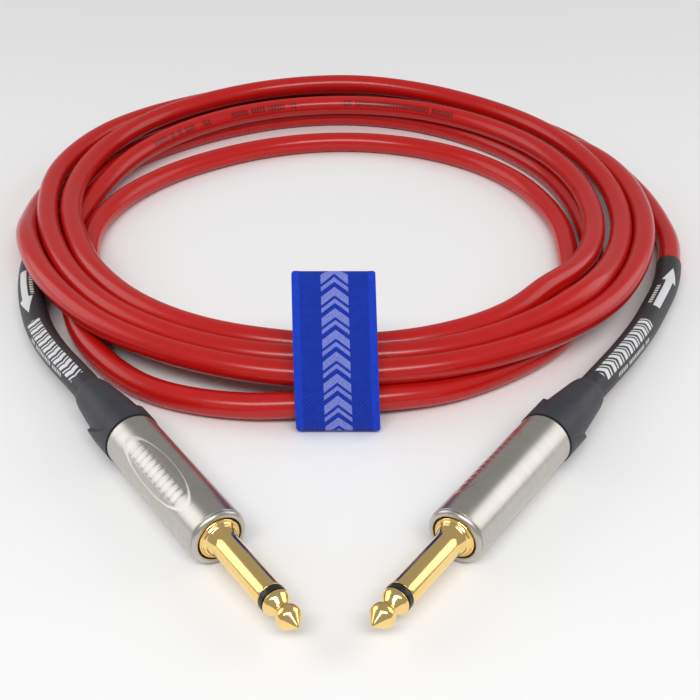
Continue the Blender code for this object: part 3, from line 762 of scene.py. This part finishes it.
def make_boot(side, look):
    outline = rounded([(BOOT_FRONT, 5.85 * MM), (BOOT_FRONT, 6.35 * MM, 0.12 * MM),
                       (BOOT_FRONT + 9.0 * MM, 6.25 * MM, 3.0 * MM),
                       (BOOT_BACK - 2.3 * MM, 4.9 * MM, 0.8 * MM),
                       (BOOT_BACK - 0.2 * MM, 4.4 * MM, 0.5 * MM), (BOOT_BACK, 4.1 * MM, 0.15 * MM),
                       (BOOT_BACK - 0.8 * MM, 3.95 * MM), (57.5 * MM, 4.2 * MM), (57.5 * MM, 5.2 * MM),
                       (49.4 * MM, 5.2 * MM), (49.0 * MM, 5.6 * MM)])
    turned(side, "boot_cover", refined(outline, 0.3 * MM), look, [side + "_boot"], side + "_bush",
                  "boot_rubber", sides=224, closed=True, radius_of=boot_radius(side))


# ---------------------------------------------------------------- strap

def tape(name, line, width, thickness, look, closed, bend=None):
    """A woven tape along a path of (y, z), with rounded selvedges a little thicker than its middle. It
    returns the piece and the path's length."""
    known = [Vector(point) for point in line]
    count, columns = len(known), 48
    points = []
    travelled, total = [], 0.0
    for k, here in enumerate(known):
        travelled.append(total)
        if closed or k < count - 1:
            total += (known[(k + 1) % count] - here).length
        before = known[k - 1] if closed or k else here
        after = known[(k + 1) % count] if closed or k < count - 1 else here
        along = (after - before).normalized()
        out = Vector((along.y, -along.x))
        for face in (1, -1):
            for c in range(columns + 1):
                x = (c / columns - 0.5) * width
                rim = (width / 2 - abs(x)) / (0.45 * MM)
                thick = thickness / 2 * (1.0 + 0.1 * step(abs(x), width * 0.4, width * 0.43))
                thick *= math.sqrt(max(0.12, 1 - (1 - min(1.0, rim)) ** 2))
                y, z = here + out * thick * face
                points.append((STRAP_X + x, y, z) if bend is None else bend(x, y, z))
    faces, uvs = [], []
    row = 2 * (columns + 1)

    def quad(a, b, c, d):
        faces.append((a[0], b[0], c[0], d[0]))
        uvs.extend((a[1], b[1], c[1], d[1]))

    def corner(k, face, c):
        ahead = travelled[k] if k < count else total
        return (k % count) * row + face * (columns + 1) + c, (ahead, (c / columns - 0.5) * width)

    for k in range(count if closed else count - 1):
        for c in range(columns):
            quad(corner(k, 0, c), corner(k + 1, 0, c), corner(k + 1, 0, c + 1), corner(k, 0, c + 1))
            quad(corner(k, 1, c + 1), corner(k + 1, 1, c + 1), corner(k + 1, 1, c), corner(k, 1, c))
        for c in (0, columns):
            quad(corner(k, 0, c), corner(k, 1, c), corner(k + 1, 1, c), corner(k + 1, 0, c))
    if not closed:
        for k in (0, count - 1):
            for c in range(columns):
                quad(corner(k, 0, c), corner(k, 0, c + 1), corner(k, 1, c + 1), corner(k, 1, c))
    return mesh_from(name, points, faces, uvs, look), total


def curve_through(points, step_length, closed):
    """A flat path of (y, z) in metres, smoothed through the given points in mm."""
    lifted = [(y * MM, z * MM, 0.0) for y, z in points]
    if closed:
        lifted = [*lifted[-3:], *lifted, *lifted[:4]]
        path = evenly(lifted, step_length)
        away = np.linalg.norm(path - np.array(lifted[3]), axis=1)
        middle = len(path) // 2
        first, last = np.argmin(away[:middle]), middle + np.argmin(away[middle:])
        return [tuple(point[:2]) for point in path[first:last]]
    return [tuple(point[:2]) for point in evenly(lifted, step_length)]


def strap_bend(x, y, z):
    """The tape leans a little: its foot is further right than its ridge."""
    lean = (0.65 - 1.3 * z / (34 * MM)) * MM
    return STRAP_X + x + lean, y, z


def make_strap(look):
    line = [(y, max(z, TAPE_LOWEST)) for y, z in curve_through(STRAP_LINE, 0.5 * MM, True)]
    band, length = tape("strap", line, STRAP_WIDTH, TAPE, look, True, strap_bend)
    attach(band, "cable")
    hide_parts("strap_band")


def make_tail(look, hooks):
    """The end of the tape that closes the loop, lying on its back face, with the hooks under it."""
    top, foot = Vector((16.4, 32.2)), Vector((26.2, 10.0))
    run = foot - top
    out = Vector((-run.y, run.x)).normalized()
    patch_line = [top + run * share + out * (TAPE / MM / 2 + 0.45) for share in (0.30, 0.5, 0.7, 0.93)]
    patch, _ = tape("strap_hooks", curve_through(patch_line, 0.6 * MM, False), STRAP_WIDTH - 3 * MM, 0.5 * MM,
                    hooks, False, strap_bend)
    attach(patch, "strap_flap")
    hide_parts("strap_hook_patch")
    lifts = ((0.22, 1.2), (0.4, 1.25), (0.6, 1.25), (0.8, 1.3), (0.92, 1.5), (0.99, 1.9))
    tail_line = [top + run * share + out * (TAPE / MM / 2 + lift) for share, lift in lifts]
    tail, length = tape("strap_end", curve_through(tail_line, 0.5 * MM, False), STRAP_WIDTH, 0.95 * MM, look,
                        False, strap_bend)
    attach(tail, "strap_flap")
    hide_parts("strap_tail")


# ---------------------------------------------------------------- carried-over nodes, floor, light and camera

def dress(looks):
    """Materials for the CAD nodes that stay: the pieces inside the plugs."""
    for side in PLUGS:
        for node, look in looks.items():
            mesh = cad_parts[f"{side}_{node}"].data
            mesh.materials.clear()
            mesh.materials.append(look)


def make_floor():
    look = Look("pale_floor", roughness=0.6)
    look.set("Base Color", look.mix(look.noise(3.0), (0.90, 0.90, 0.90), (0.93, 0.93, 0.93)))
    look.bump(look.noise(400.0), 0.00002, 0.2)
    mesh = bpy.data.meshes.new("floor")
    half = 3.0
    corners = [(-half, -half, 0), (half, -half, 0), (half, half, 0), (-half, half, 0)]
    mesh.from_pydata(corners, [], [(0, 1, 2, 3)])
    mesh.materials.append(look.material)
    floor = bpy.data.objects.new("floor", mesh)
    floor.location.z = -0.05 * MM
    bpy.context.scene.collection.objects.link(floor)


def softbox(name, location, target, size, power):
    light = bpy.data.lights.new(name, "AREA")
    light.shape = "RECTANGLE"
    light.size, light.size_y = size
    light.energy = power
    obj = bpy.data.objects.new(name, light)
    obj.location = location
    obj.rotation_euler = (Vector(target) - Vector(location)).to_track_quat("-Z", "Y").to_euler()
    bpy.context.scene.collection.objects.link(obj)


def make_lights():
    world = bpy.data.worlds.new("studio")
    world.use_nodes = True
    world.node_tree.nodes["Background"].inputs[0].default_value = (1.0, 1.0, 1.0, 1.0)
    world.node_tree.nodes["Background"].inputs[1].default_value = 0.38
    bpy.context.scene.world = world
    softbox("key", (0.0, -0.6, 0.78), (0.0, 0.05, 0.0), (1.0, 0.22), 6.6)
    softbox("left_box", (-0.9, 0.32, 0.45), (-0.05, 0.0, 0.0), (0.7, 0.75), 2.4)
    softbox("right_box", (0.9, 0.32, 0.45), (0.05, 0.0, 0.0), (0.7, 0.75), 2.4)


def make_camera():
    camera = bpy.data.cameras.new("camera")
    camera.lens = 63.2
    camera.sensor_width = 36.0
    camera.clip_start, camera.clip_end = 0.01, 20.0
    obj = bpy.data.objects.new("camera", camera)
    obj.location = (-0.0005, -0.2536, 0.1852)
    target = Vector((-0.0005, 0.0315, 0.0))
    obj.rotation_euler = (target - obj.location).to_track_quat("-Z", "Y").to_euler()
    bpy.context.scene.collection.objects.link(obj)
    bpy.context.scene.camera = obj


make_camera()
make_cord()
GOLD, NICKEL, RUBBER, WEAVE = gold_look(), nickel_look(), rubber_look(), weave_look()
BLACK = plain_look("black_insulator", (0.006, 0.006, 0.008), (0.014, 0.014, 0.017), 0.28)
for plug_side in PLUGS:
    make_sleeve(plug_side)
    make_tip(plug_side, GOLD)
    make_ring(plug_side, BLACK)
    make_shaft(plug_side, GOLD)
    make_shell(plug_side, NICKEL)
    make_boot(plug_side, RUBBER)
make_strap(WEAVE)
make_tail(WEAVE, hook_look())
TAG = plain_look("tinned_tag", (0.60, 0.52, 0.36), (0.74, 0.66, 0.48), 0.35, metallic=1.0)
dress({
    "rear_insulator": BLACK,
    "gland": BLACK,
    "ground_lug": TAG,
    "tip_lug": TAG,
    "chuck": plain_look("grey_collet", (0.16, 0.16, 0.18), (0.24, 0.24, 0.26), 0.45),
    "core_wire": plain_look("white_core", (0.66, 0.66, 0.62), (0.78, 0.78, 0.74), 0.45),
    "shield_pigtail": plain_look("copper_strands", (0.62, 0.30, 0.16), (0.80, 0.44, 0.26), 0.35,
                                 metallic=1.0),
})
make_floor()
make_lights()
bpy.context.scene.view_settings.view_transform = "Standard"
